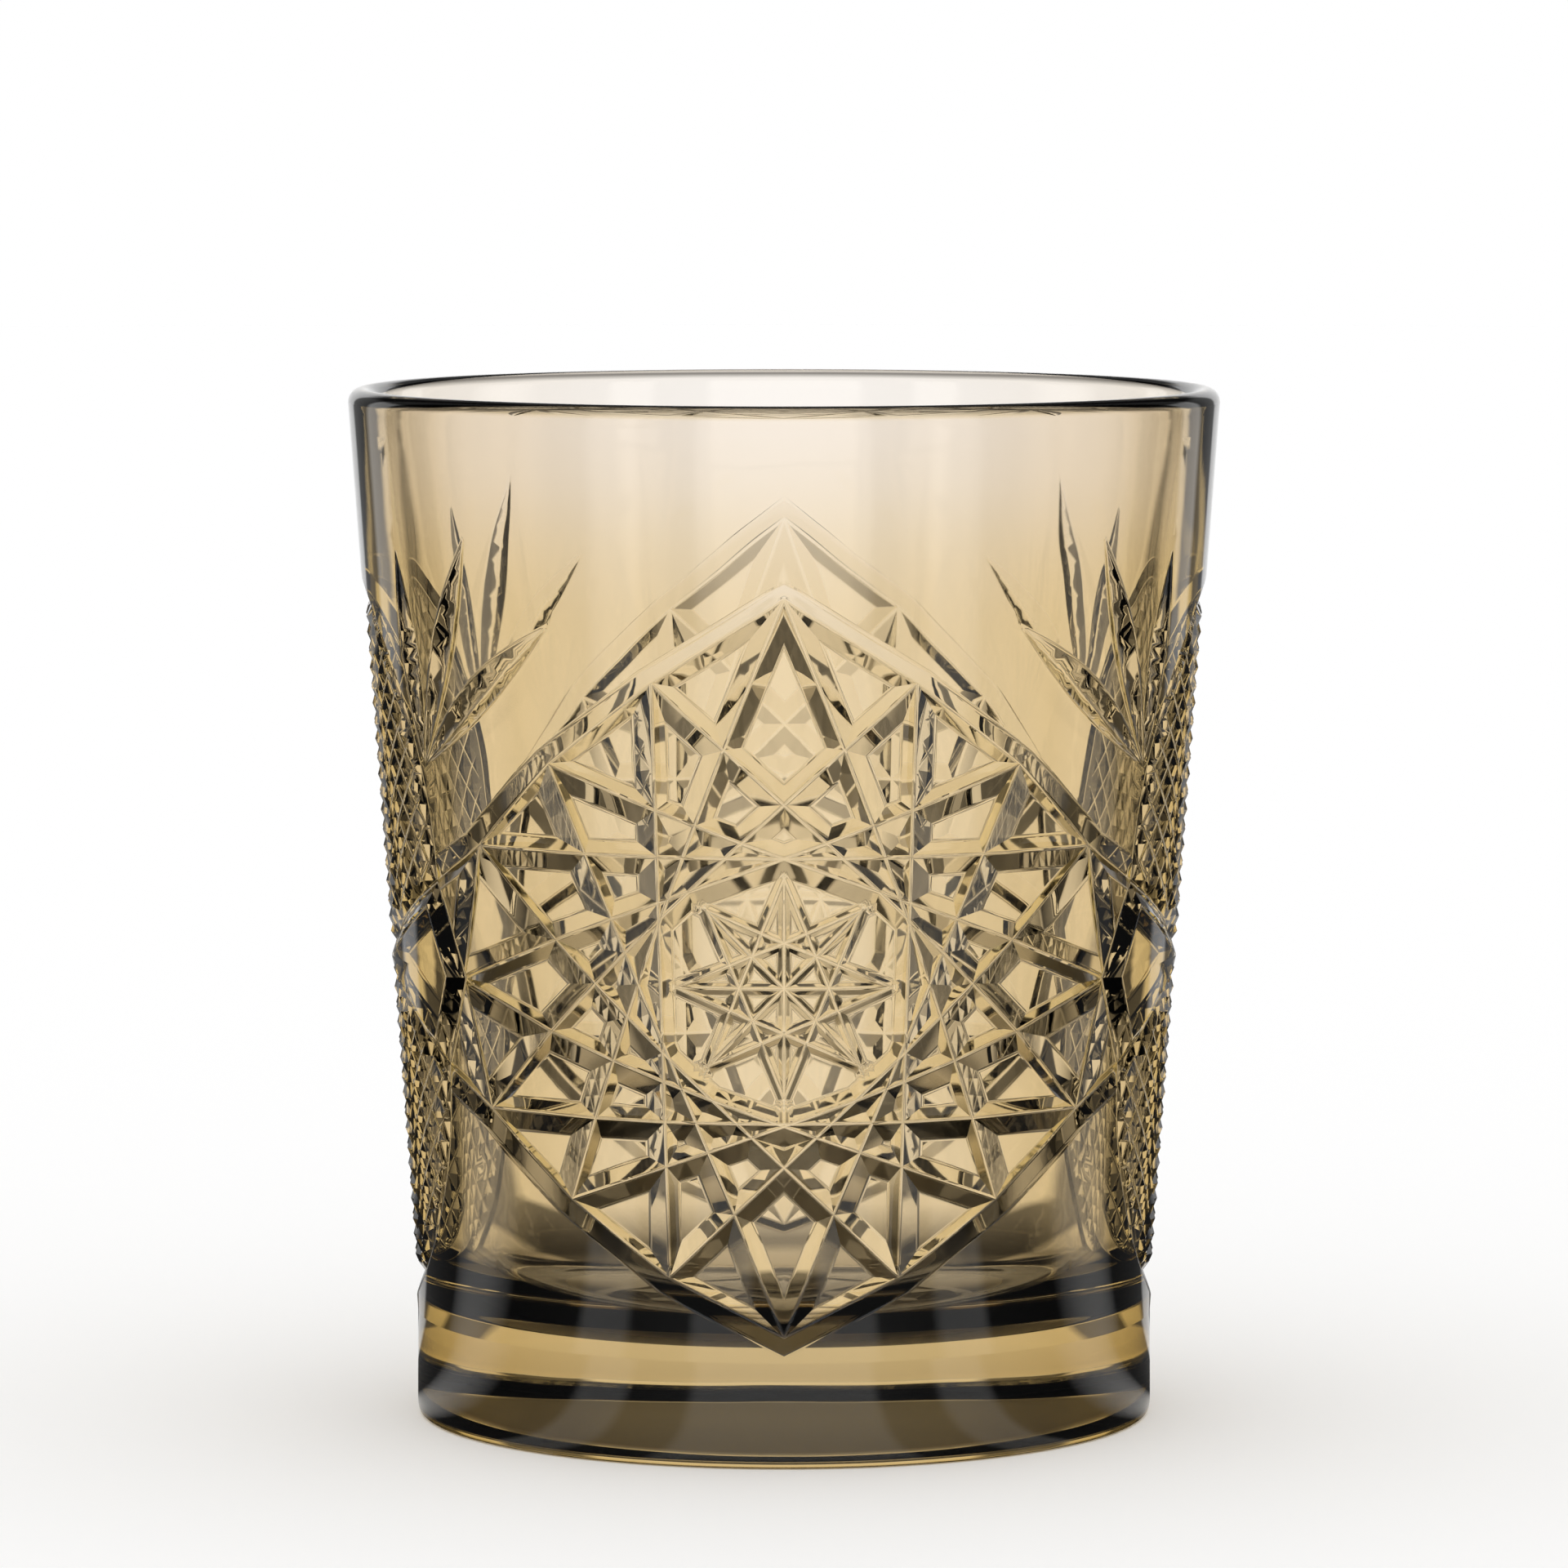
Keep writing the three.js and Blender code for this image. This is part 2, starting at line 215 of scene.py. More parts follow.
class TumblerStage(bpy.types.PropertyGroup):
    """Camera and floor."""

    camera_distance: length("Camera distance", "From the glass's axis to the camera", 850)
    camera_height: length("Camera height", "Height of the camera over the table", 141.5)
    aim_height: length("Aim height", "Height of the point that the camera looks at", 63.8)
    lens: FloatProperty(
        name="Lens", description="Focal length on a 36 mm sensor", default=193.6, min=1, unit="CAMERA"
    )
    floor_colour: colour("Floor", "Colour of the floor", (1, 1, 1))
    floor_radius: length("Floor radius", "Radius of the round floor", 3000)
    columns: IntProperty(name="Floor columns", description="Sides of the round floor", default=96, min=8)
    shadow_start: length("Shadow start", "Radius inside which the floor under the foot is darkest", 34)
    shadow_end: length("Shadow end", "Radius at which the shadow under the foot ends", 38)


def millimetres(group):
    """The lengths of a property group in millimetres, under their own names."""
    names = [name for name, kind in group.bl_rna.properties.items() if getattr(kind, "unit", "") == "LENGTH"]
    return SimpleNamespace(**{name: getattr(group, name) / MM for name in names})


def line_rows(starts, ends, depth, spread):
    """Lines of the drawing as rows (a, b, c, depth, spread): a x + b y - c is the distance from the line."""
    along = ends - starts
    across = np.column_stack([-along[:, 1], along[:, 0]]) / np.hypot(*along.T)[:, None]
    reach = (across * starts).sum(1)
    return np.column_stack([across, reach, np.full(len(starts), depth), np.full(len(starts), spread)])


def clip(outline, values):
    """The part of a convex outline where a value that is linear across it isn't below nought."""
    values = np.where(np.abs(values) < NOTHING, 0, values)
    if not (values > 0).any():
        return outline[:0]
    after = np.roll(values, -1)
    crosses = values * after < 0
    share = values / np.where(crosses, values - after, 1)
    met = outline + share[:, None] * (np.roll(outline, -1, axis=0) - outline)
    corners = np.stack([outline, met], axis=1).reshape(-1, 2)
    return corners[np.column_stack([values >= 0, crosses]).ravel()]


def split(outlines, lines):
    """Convex outlines parted along each line in turn."""
    for line in lines:
        halves = []
        for outline in outlines:
            values = outline @ line[:2] - line[2]
            halves += [clip(outline, values), clip(outline, -values)]
        outlines = [half for half in halves if len(half) > 2]
    return outlines


def flank_outlines(cell, lines, valley, edge):
    """Outlines of the flanks that show in a cell between cuts.

    Each cut's flank rises from its valley as distance over spread less depth, and the lowest flank
    shows. Flanks are parted again where the rounding of valley and edges starts and ends.
    """
    side = np.sign((cell @ lines[:, :2].T - lines[:, 2]).mean(0))
    rises = np.column_stack([lines[:, :2] * side[:, None], -lines[:, 2] * side]) / lines[:, 4:5]
    rises[:, 2] -= lines[:, 3]
    near = np.flatnonzero((cell @ rises[:, :2].T + rises[:, 2]).min(0) < edge)
    found = [] if len(near) else [cell]
    for index in near:
        face = cell
        for other in near[near != index]:
            above = rises[other] - rises[index]
            face = clip(face, face @ above[:2] + above[2])
            if len(face) < 3:
                break
        for level in (valley / lines[index, 4] - lines[index, 3], -edge, edge):
            if len(face) < 3:
                break
            values = face @ rises[index, :2] + rises[index, 2] - level
            found.append(clip(face, -values))
            face = clip(face, values)
        found.append(face)
    return [face for face in found if len(face) > 2]


class CutWall:
    """One quarter of the wall with its cuts, drawn flat.

    A point of the drawing is (arc length from the middle of a medallion, height) in millimetres.
    """

    def __init__(self, body, cuts, spread):
        self.body, self.cuts, self.spread = body, cuts, spread
        self.lip_height = body.height - body.lip_thickness / 2
        self.slope = (body.rim_radius - body.waist_radius) / (self.lip_height - body.waist_height)
        self.normal = np.array([1, -self.slope]) / np.hypot(1, self.slope)
        self.arc = (body.rim_radius + body.waist_radius) / 2
        self.quarter = self.arc * np.pi / 2
        self.low = body.waist_height
        self.high = self.lip_height - body.lip_thickness
        tips = self.flat(STAR_TIPS)
        self.star_tips = np.vstack([tips, tips[-2:0:-1] * (-1, 1)])
        self.shoulder, self.hip, self.root = self.flat([SHOULDER, HIP, FAN_ROOT])
        self.crossing = self.flat([(SHIELD_ANGLE, 0)])[0]
        self.crown, self.keel = self.flat([(SHIELD_ANGLE, SHIELD_TOP), (SHIELD_ANGLE, SHIELD_BOTTOM)])
        self.leaf_tips = self.flat(FAN_TIPS)
        self.star = line_rows(
            self.star_tips, np.roll(self.star_tips, -STAR_SKIP, axis=0), cuts.star_depth, spread
        )
        self.border = line_rows(
            self.star_tips, np.roll(self.star_tips, -1, axis=0), cuts.border_depth, spread
        )
        self.hub = self.star_tips.mean(0)
        self.hob_ends = self.hob_chords()
        self.hob = line_rows(*self.hob_ends, cuts.hob_depth, spread)
        self.hatch_spread = self.hatch_pitch() / 2 / cuts.hatch_depth
        self.over_side, self.side, self.under_side = self.star_tips[SIDE_TIP - 1:SIDE_TIP + 2]
        self.border_ends = np.array(
            [*zip(tips[:-1], tips[1:]), (self.over_side, self.shoulder), (self.under_side, self.hip)]
        ).swapaxes(0, 1)
        self.frame_ends = np.array([
            (self.shoulder, self.side), (self.hip, self.side),
            (self.shoulder, self.crossing), (self.hip, self.crossing),
        ]).swapaxes(0, 1)

    def flat(self, points):
        """Points (degrees, level) on the drawing."""
        angle, level = np.array(points, float).T
        up = self.body.height - self.cuts.rim_margin - self.cuts.middle
        down = self.cuts.middle - self.cuts.foot_margin
        return np.column_stack([
            np.radians(angle) * self.arc, self.cuts.middle + level * np.where(level > 0, up, down)
        ])

    def hatch_pitch(self):
        """Distance between neighbouring cuts of one direction of the hatching."""
        return self.cuts.hatch_height * self.cuts.hatch_width / np.hypot(
            self.cuts.hatch_height, self.cuts.hatch_width
        )

    def hob_chords(self):
        """Ends of the small star's cuts on the hob: chords that skip some points, and diameters."""
        turn = np.arange(HOB_POINTS) * 2 * np.pi / HOB_POINTS
        points = self.hub + self.cuts.hob_radius * np.column_stack([np.sin(turn), np.cos(turn)])
        half = HOB_POINTS // 2
        starts = np.vstack([points, points[:half]])
        ends = np.vstack([np.roll(points, -HOB_SKIP, axis=0), points[half:]])
        return starts, ends

    def hatch_lines(self, shield):
        """Cuts of the hatching that can reach a shield: two slanting rows, a diamond's height apart."""
        slant = self.cuts.hatch_height / self.cuts.hatch_width
        rows = []
        for lean in (slant, -slant):
            foot = shield[:, 1] - self.crossing[1] - lean * (shield[:, 0] - self.crossing[0])
            count = np.arange(
                np.floor(foot.min() / self.cuts.hatch_height),
                np.ceil(foot.max() / self.cuts.hatch_height) + 1,
            )
            starts = np.column_stack([
                np.full(len(count), self.crossing[0]), self.crossing[1] + count * self.cuts.hatch_height
            ])
            deep = self.cuts.hatch_depth + self.cuts.hatch_sink
            rows.append(line_rows(starts, starts + (1, lean), deep, self.hatch_spread))
        return np.vstack(rows)

    def arch_points(self, spring, crown):
        """A quarter of an ellipse from a shield's springing to its crown."""
        turn = np.linspace(0, np.pi / 2, ARCH_STEPS + 1)
        across = self.crossing[0] - spring[0]
        return np.column_stack([
            self.crossing[0] - across * np.cos(turn), spring[1] + (crown[1] - spring[1]) * np.sin(turn)
        ])

    def mitre(self, distance, depth, spread):
        """Depth of a cut at a distance from its line: depth less distance over spread, the valley rounded."""
        valley = self.cuts.valley_round
        eased = np.where(distance < valley, distance**2 / (2 * valley) + valley / 2, distance)
        return depth - eased / spread

    def arch_depth(self, points, spring, crown):
        """Depth of an arch's cut at points, and which of them lie inside the arch.

        The distance from the arch is the ellipse's value over its slope.
        """
        radii = np.abs([self.crossing[0] - spring[0], crown[1] - spring[1]])
        part = (points - (self.crossing[0], spring[1])) / radii
        size = np.maximum(np.hypot(*part.T), NOTHING)
        distance = np.abs(size - 1) * size / np.maximum(np.hypot(*(part / radii).T), NOTHING)
        over = part[:, 1] * np.sign(crown[1] - spring[1]) >= 0
        deep = self.mitre(distance, self.cuts.frame_depth, self.spread)
        return np.where(over, deep, -np.inf), over & (size < 1)

    def segment_distance(self, points, starts, ends):
        """Distance of each point from the nearest of some straight pieces."""
        along = ends - starts
        gap = points[:, None] - starts
        share = np.clip((gap * along).sum(2) / (along**2).sum(1), 0, 1)
        return np.hypot(*np.moveaxis(gap - share[:, :, None] * along, 2, 0)).min(1)

    def depth(self, points):
        """Depth of the cuts at points of the drawing: the deepest cut counts, and its edge is rounded."""
        cuts = self.cuts
        deepest = np.maximum(
            self.mitre(self.segment_distance(points, *self.border_ends), cuts.border_depth, self.spread),
            self.mitre(self.segment_distance(points, *self.frame_ends), cuts.frame_depth, self.spread),
        )
        upper, under_crown = self.arch_depth(points, self.shoulder, self.crown)
        lower, over_keel = self.arch_depth(points, self.hip, self.keel)
        deepest = np.maximum(deepest, np.maximum(upper, lower))

        from_star = points @ self.star[:, :2].T - self.star[:, 2]
        from_border = points @ self.border[:, :2].T - self.border[:, 2]
        in_medallion = (from_border * np.sign(self.border[:, :2] @ self.hub - self.border[:, 2]) > 0).all(1)
        star = self.mitre(np.abs(from_star).min(1), cuts.star_depth, self.spread)
        deepest = np.where(in_medallion, np.maximum(deepest, star), deepest)
        in_hob = (from_star * np.sign(self.star[:, :2] @ self.hub - self.star[:, 2]) > 0).all(1)
        hob = self.mitre(self.segment_distance(points, *self.hob_ends), cuts.hob_depth, self.spread)
        deepest = np.where(in_hob, np.maximum(deepest, hob), deepest)

        shift = points - self.crossing
        arm_up = (self.shoulder - self.crossing)[1] / (self.shoulder - self.crossing)[0]
        arm_down = (self.hip - self.crossing)[1] / (self.hip - self.crossing)[0]
        wide = shift[:, 0] > (self.shoulder - self.crossing)[0]
        in_upper = (shift[:, 1] > arm_up * shift[:, 0]) & wide
        in_upper &= under_crown | (points[:, 1] < self.shoulder[1])
        in_lower = (shift[:, 1] < arm_down * shift[:, 0]) & wide
        in_lower &= over_keel | (points[:, 1] > self.hip[1])
        slant = cuts.hatch_height / cuts.hatch_width
        foot = shift[:, 1:] - shift[:, :1] * (slant, -slant)
        foot = np.abs(foot - cuts.hatch_height * np.round(foot / cuts.hatch_height)).min(1)
        aside = foot * self.hatch_pitch() / cuts.hatch_height
        hatch = self.mitre(aside, cuts.hatch_depth + cuts.hatch_sink, self.hatch_spread)
        deepest = np.where(in_upper | in_lower, np.maximum(deepest, hatch), deepest)

        for tip in self.leaf_tips:
            along = tip - self.root
            share = (points - self.root) @ along / (along @ along)
            aside = np.abs((points - self.root) @ (-along[1], along[0])) / np.hypot(*along)
            swell = cuts.leaf_depth * np.sin(np.pi * np.clip(share, 0, 1))
            deepest = np.maximum(deepest, self.mitre(aside, swell, self.spread))
        edge = cuts.edge_round
        return np.where(deepest > edge, deepest, np.maximum(deepest + edge, 0) ** 2 / (4 * edge))

    def outlines(self):
        """Convex outlines of the relief in the quarter: medallion, corner lands, lozenge and shields."""
        valley, edge = self.cuts.valley_round, self.cuts.edge_round
        right_tips = self.star_tips[:len(STAR_TIPS)]
        found = []
        ring_side = np.sign(self.star[:, :2] @ self.hub - self.star[:, 2])
        for cell in split([right_tips[::-1]], self.star):
            from_star = (cell.mean(0) @ self.star[:, :2].T - self.star[:, 2]) * ring_side
            lines = np.vstack([self.star, self.border])
            parts = [cell]
            if (from_star > 0).all():
                parts = split(parts, self.hob)
                lines = np.vstack([lines, self.hob])
            for part in parts:
                found += flank_outlines(part, lines, valley, edge)
        border, frame_cut = self.cuts.border_depth, self.cuts.frame_depth
        corners = [
            ([self.over_side, self.side, self.shoulder], [border, frame_cut, border]),
            ([self.side, self.under_side, self.hip], [border, border, frame_cut]),
            ([self.shoulder, self.side, self.hip, self.crossing], [frame_cut] * 4),
        ]
        for cell, depths in corners:
            cell = np.array(cell)
            sides = line_rows(cell, np.roll(cell, -1, axis=0), frame_cut, self.spread)
            sides[:, 3] = depths
            found += flank_outlines(cell, sides, valley, edge)
        for spring, crown in ((self.shoulder, self.crown), (self.hip, self.keel)):
            shield = np.vstack([self.arch_points(spring, crown), self.crossing])
            sides = line_rows(shield, np.roll(shield, -1, axis=0), self.cuts.frame_depth, self.spread)
            sides = np.delete(sides, len(shield) - 2, axis=0)
            hatch = self.hatch_lines(shield)
            for cell in split([shield], hatch):
                found += flank_outlines(cell, np.vstack([sides, hatch]), valley, edge)
        return found

    def runs(self):
        """Open runs of the drawing: outer edges of frames and arches, and the leaves' edges and valleys."""
        cuts = self.cuts
        right_tips = self.star_tips[:len(STAR_TIPS)]
        upper = np.vstack([right_tips[:SIDE_TIP], self.shoulder])
        lower = np.vstack([right_tips[:SIDE_TIP:-1], self.hip])
        found = []
        for points, outside, deep in (
            (upper, 1, cuts.border_depth), (lower, -1, cuts.border_depth),
            (self.arch_points(self.shoulder, self.crown), 1, cuts.frame_depth),
            (self.arch_points(self.hip, self.keel), -1, cuts.frame_depth),
        ):
            along = np.diff(points, axis=0)
            across = outside * np.column_stack([-along[:, 1], along[:, 0]]) / np.hypot(*along.T)[:, None]
            before, after = np.vstack([across[:1], across]), np.vstack([across, across[-1:]])
            mitred = (before + after) / (1 + (before * after).sum(1))[:, None]
            on_axis = np.abs(points[:, 0] - np.round(points[:, 0] / self.quarter) * self.quarter) < NOTHING
            mitred = np.where(on_axis[:, None], np.column_stack([0 * mitred[:, 0], 1 / before[:, 1]]), mitred)
            found.append(points)
            edges = np.array([deep - cuts.edge_round, deep + cuts.edge_round]) * self.spread
            found += [points + width * mitred for width in (cuts.valley_round, *edges)]
        for node, first, second in (
            (self.shoulder, self.over_side, self.crown), (self.hip, self.under_side, self.keel),
        ):
            arm = (first - node) / np.hypot(*(first - node))
            post = np.array([0, np.sign(second[1] - node[1])])
            middle = (arm + post) / np.hypot(*(arm + post))
            reach = (cuts.frame_depth + cuts.edge_round) * self.spread / np.sqrt((1 - arm @ post) / 2)
            found.append(np.array([node, node + reach * middle]))
        share = np.linspace(0, 1, LEAF_STEPS + 1)
        swell = cuts.leaf_depth * np.sin(np.pi * share)
        for tip in self.leaf_tips:
            along = tip - self.root
            across = np.array([-along[1], along[0]]) / np.hypot(*along)
            spine = self.root + share[:, None] * along
            found.append(spine)
            for level in (swell - cuts.edge_round, swell + cuts.edge_round):
                aside = np.maximum(level, 0)[:, None] * self.spread * across
                found += [spine + aside, spine - aside]
        return found

    def triangles(self):
        """Corners and triangles of the flat quarter: a plain grid, joined along every line of the relief."""
        x, y = np.meshgrid(
            np.linspace(0, self.quarter, QUARTER_COLUMNS + 1), np.linspace(self.low, self.high, WALL_ROWS + 1)
        )
        number = np.arange(x.size).reshape(x.shape)
        rim = np.concatenate([number[0], number[1:, -1], number[-1, -2::-1], number[-2:0:-1, 0]])
        points = [np.column_stack([x.ravel(), y.ravel()])]
        edges = [np.column_stack([rim, np.roll(rim, -1)])]
        start = x.size
        for outline in self.outlines():
            index = start + np.arange(len(outline))
            points.append(outline)
            edges.append(np.column_stack([index, np.roll(index, -1)]))
            start += len(outline)
        for run in self.runs():
            index = start + np.arange(len(run))
            points.append(run)
            edges.append(np.column_stack([index[:-1], index[1:]]))
            start += len(run)
        points = np.vstack(points)
        points[:, 0] = np.clip(points[:, 0], 0, self.quarter)
        _, first, same = np.unique(
            np.round(points / SAME_POINT).astype(np.int64), axis=0, return_index=True, return_inverse=True
        )
        edges = np.unique(np.sort(same.ravel()[np.vstack(edges)], axis=1), axis=0)
        edges = edges[edges[:, 0] != edges[:, 1]]
        corners, _, faces, *_ = delaunay_2d_cdt(
            [Vector(point) for point in points[first].tolist()], edges.tolist(), [], 0, SAME_POINT
        )
        return np.array(corners, float), np.array(faces)

    def surface(self, angle, flat, sunk):
        """Points on the wall: a cone of the height's radius, moved in by the depth along its normal."""
        height = flat[..., 1]
        radius = self.body.waist_radius + self.slope * (height - self.body.waist_height)
        radius = radius - sunk * self.normal[0]
        return np.stack(
            [radius * np.sin(angle), -radius * np.cos(angle), height - sunk * self.normal[1]], axis=-1
        )

    def sheets(self):
        """The four quarters of the cut wall, each as points, triangles and the normals at their corners.

        The normal is the cone's own plus the slope of the depth, once round the wall and once up it.
        """
        flat, faces = self.triangles()
        inside = (flat[:, 1] > self.low + SAME_POINT) & (flat[:, 1] < self.high - SAME_POINT)
        sunk = np.where(inside, self.depth(flat), 0)
        corners = flat[faces]
        inner = corners + NORMAL_INSET * (corners.mean(1, keepdims=True) - corners)
        slopes = [
            (self.depth((inner + move).reshape(-1, 2)) - self.depth((inner - move).reshape(-1, 2)))
            / (2 * NORMAL_STEP)
            for move in NORMAL_STEP * np.eye(2)
        ]
        round_slope, up_slope = (slope.reshape(corners.shape[:2]) for slope in slopes)
        radius = self.body.waist_radius + self.slope * (corners[..., 1] - self.body.waist_height)
        round_slope = round_slope * self.arc / radius
        up_slope = up_slope * self.normal[0]
        outwards = self.normal[0] - up_slope * self.normal[1]
        upwards = self.normal[1] + up_slope * self.normal[0]
        size = np.sqrt(outwards**2 + upwards**2 + round_slope**2)
        found = []
        for turn in (0, np.pi):
            for hand in (1, -1):
                angle = turn + hand * flat[:, 0] / self.arc
                at = angle[faces]
                normals = np.stack([
                    outwards * np.sin(at) + hand * round_slope * np.cos(at),
                    -outwards * np.cos(at) + hand * round_slope * np.sin(at),
                    upwards,
                ], axis=-1) / size[..., None]
                found.append((self.surface(angle, flat, sunk), faces[:, ::hand], normals[:, ::hand]))
        return found


def bezier(points, steps):
    """A Bezier curve through its first and last control point, at even steps of its parameter."""
    points = np.array(points, float)
    share = np.linspace(0, 1, steps + 1)[:, None]
    while len(points) > 1:
        if points.ndim == 2:
            points = points[:, None]
        points = points[:-1] * (1 - share) + points[1:] * share
    return points[0]


def arc(centre, radius, start, stop, steps):
    """Points of a circle from one angle to another."""
    turn = np.linspace(start, stop, steps + 1)
    return np.array(centre) + radius * np.column_stack([np.cos(turn), np.sin(turn)])


def foot_profile(body):
    """Radius and height from the middle of the underside to the foot of the cut wall.

    The recess is a flat dome, the ring flat, the corner a tight Bezier curve and the band nearly upright.
    """
    recess_steps, ring_steps, corner_steps, band_steps = FOOT_STEPS
    top = body.punt_depth
    recess = bezier([(0, top), (body.ring_inner / 2, top), (body.ring_inner, 0)], recess_steps)
    ring = np.linspace((body.ring_inner, 0), (body.ring_outer, 0), ring_steps + 1)
    outer = (body.foot_radius, 0)
    corner = bezier([(body.ring_outer, 0), outer, outer, (body.foot_radius, body.foot_side)], corner_steps)
    band = bezier([
        (body.foot_radius, body.foot_side), (body.waist_radius, body.waist_height - body.foot_blend),
        (body.waist_radius, body.waist_height),
    ], band_steps)
    return np.vstack([recess, ring[1:], corner[1:], band[1:]])


def bowl_profile(body, wall):
    """Radius and height from the top of the cut wall over the lip and down to the middle of the floor.

    The lip is half a circle, the wall inside a Bezier curve, so that the wall thins upwards, and the
    corner a quarter of a circle.
    """
    rise_steps, lip_steps, wall_steps, corner_steps, floor_steps = BOWL_STEPS
    lip = body.lip_thickness / 2
    corner_top = body.floor_thickness + body.floor_corner
    inside = body.waist_radius + wall.slope * (corner_top - body.waist_height) - body.wall_thickness
    full = body.waist_radius + wall.slope * (body.full_wall_height - body.waist_height) - body.wall_thickness
    top = body.waist_radius + wall.slope * (wall.high - body.waist_height)
    rise = np.linspace((top, wall.high), (body.rim_radius, wall.lip_height), rise_steps + 1)
    over = arc((body.rim_radius - lip, wall.lip_height), lip, 0, np.pi, lip_steps)
    down = bezier([over[-1], (full, body.full_wall_height), (inside, corner_top)], wall_steps)
    centre = (inside - body.floor_corner, corner_top)
    corner = arc(centre, body.floor_corner, 0, -np.pi / 2, corner_steps)
    floor = np.linspace(corner[-1], (0, body.floor_thickness), floor_steps + 1)
    return np.vstack([rise, over[1:], down[1:], corner[1:], floor[1:]])


def turned_sheet(profile):
    """A profile turned about the axis, as points, triangles and the normals at their corners."""
    angle = np.linspace(0, 2 * np.pi, 4 * QUARTER_COLUMNS + 1)
    steps = np.diff(profile, axis=0)
    steps = steps / np.hypot(*steps.T)[:, None]
    along = np.vstack([steps[:1], steps[:-1] + steps[1:], steps[-1:]])
    along /= np.hypot(*along.T)[:, None]
    radius, height = profile.T[:, :, None]
    points = np.stack(np.broadcast_arrays(radius * np.sin(angle), -radius * np.cos(angle), height), axis=-1)
    rise, run = along[:, 1:], -along[:, :1]
    normals = np.stack(np.broadcast_arrays(rise * np.sin(angle), -rise * np.cos(angle), run), axis=-1)
    number = np.arange(radius.size * angle.size).reshape(radius.size, angle.size)
    a, b, c, d = number[:-1, :-1], number[:-1, 1:], number[1:, 1:], number[1:, :-1]
    faces = np.concatenate([np.stack([a, b, c], -1).reshape(-1, 3), np.stack([a, c, d], -1).reshape(-1, 3)])
    return points.reshape(-1, 3), faces, normals.reshape(-1, 3)[faces]


def joined_mesh(name, sheets, masks):
    """One closed mesh of sheets whose edges meet: equal points become one, and empty triangles go.

    Masks hold one value for each point of all sheets, under the name of their attribute.
    """
    points = np.vstack([sheet[0] for sheet in sheets]) * MM
    starts = np.cumsum([0] + [len(sheet[0]) for sheet in sheets[:-1]])
    faces = np.vstack([sheet[1] + start for sheet, start in zip(sheets, starts)])
    normals = np.vstack([sheet[2] for sheet in sheets])
    _, first, same = np.unique(
        np.round(points / WELD).astype(np.int64), axis=0, return_index=True, return_inverse=True
    )
    faces = same.ravel()[faces]
    whole = (faces != np.roll(faces, 1, axis=1)).all(1)
    mesh = bpy.data.meshes.new(name)
    mesh.from_pydata(points[first].tolist(), [], faces[whole].tolist())
    mesh.shade_smooth()
    mesh.normals_split_custom_set(normals[whole].reshape(-1, 3).tolist())
    for title, values in masks.items():
        mask = mesh.attributes.new(title, "FLOAT", "POINT")
        mask.data.foreach_set("value", values[first].astype(np.float32))
    mesh.update()
    return mesh


def add_node(tree, kind, place, inputs=None, **settings):
    """A node of a kind, with its settings, and with the values of its inputs by name or number."""
    node = tree.nodes.new(kind)
    node.location = place
    for name, value in settings.items():
        setattr(node, name, value)
    for socket, value in (inputs or {}).items():
        node.inputs[socket].default_value = value
    return node


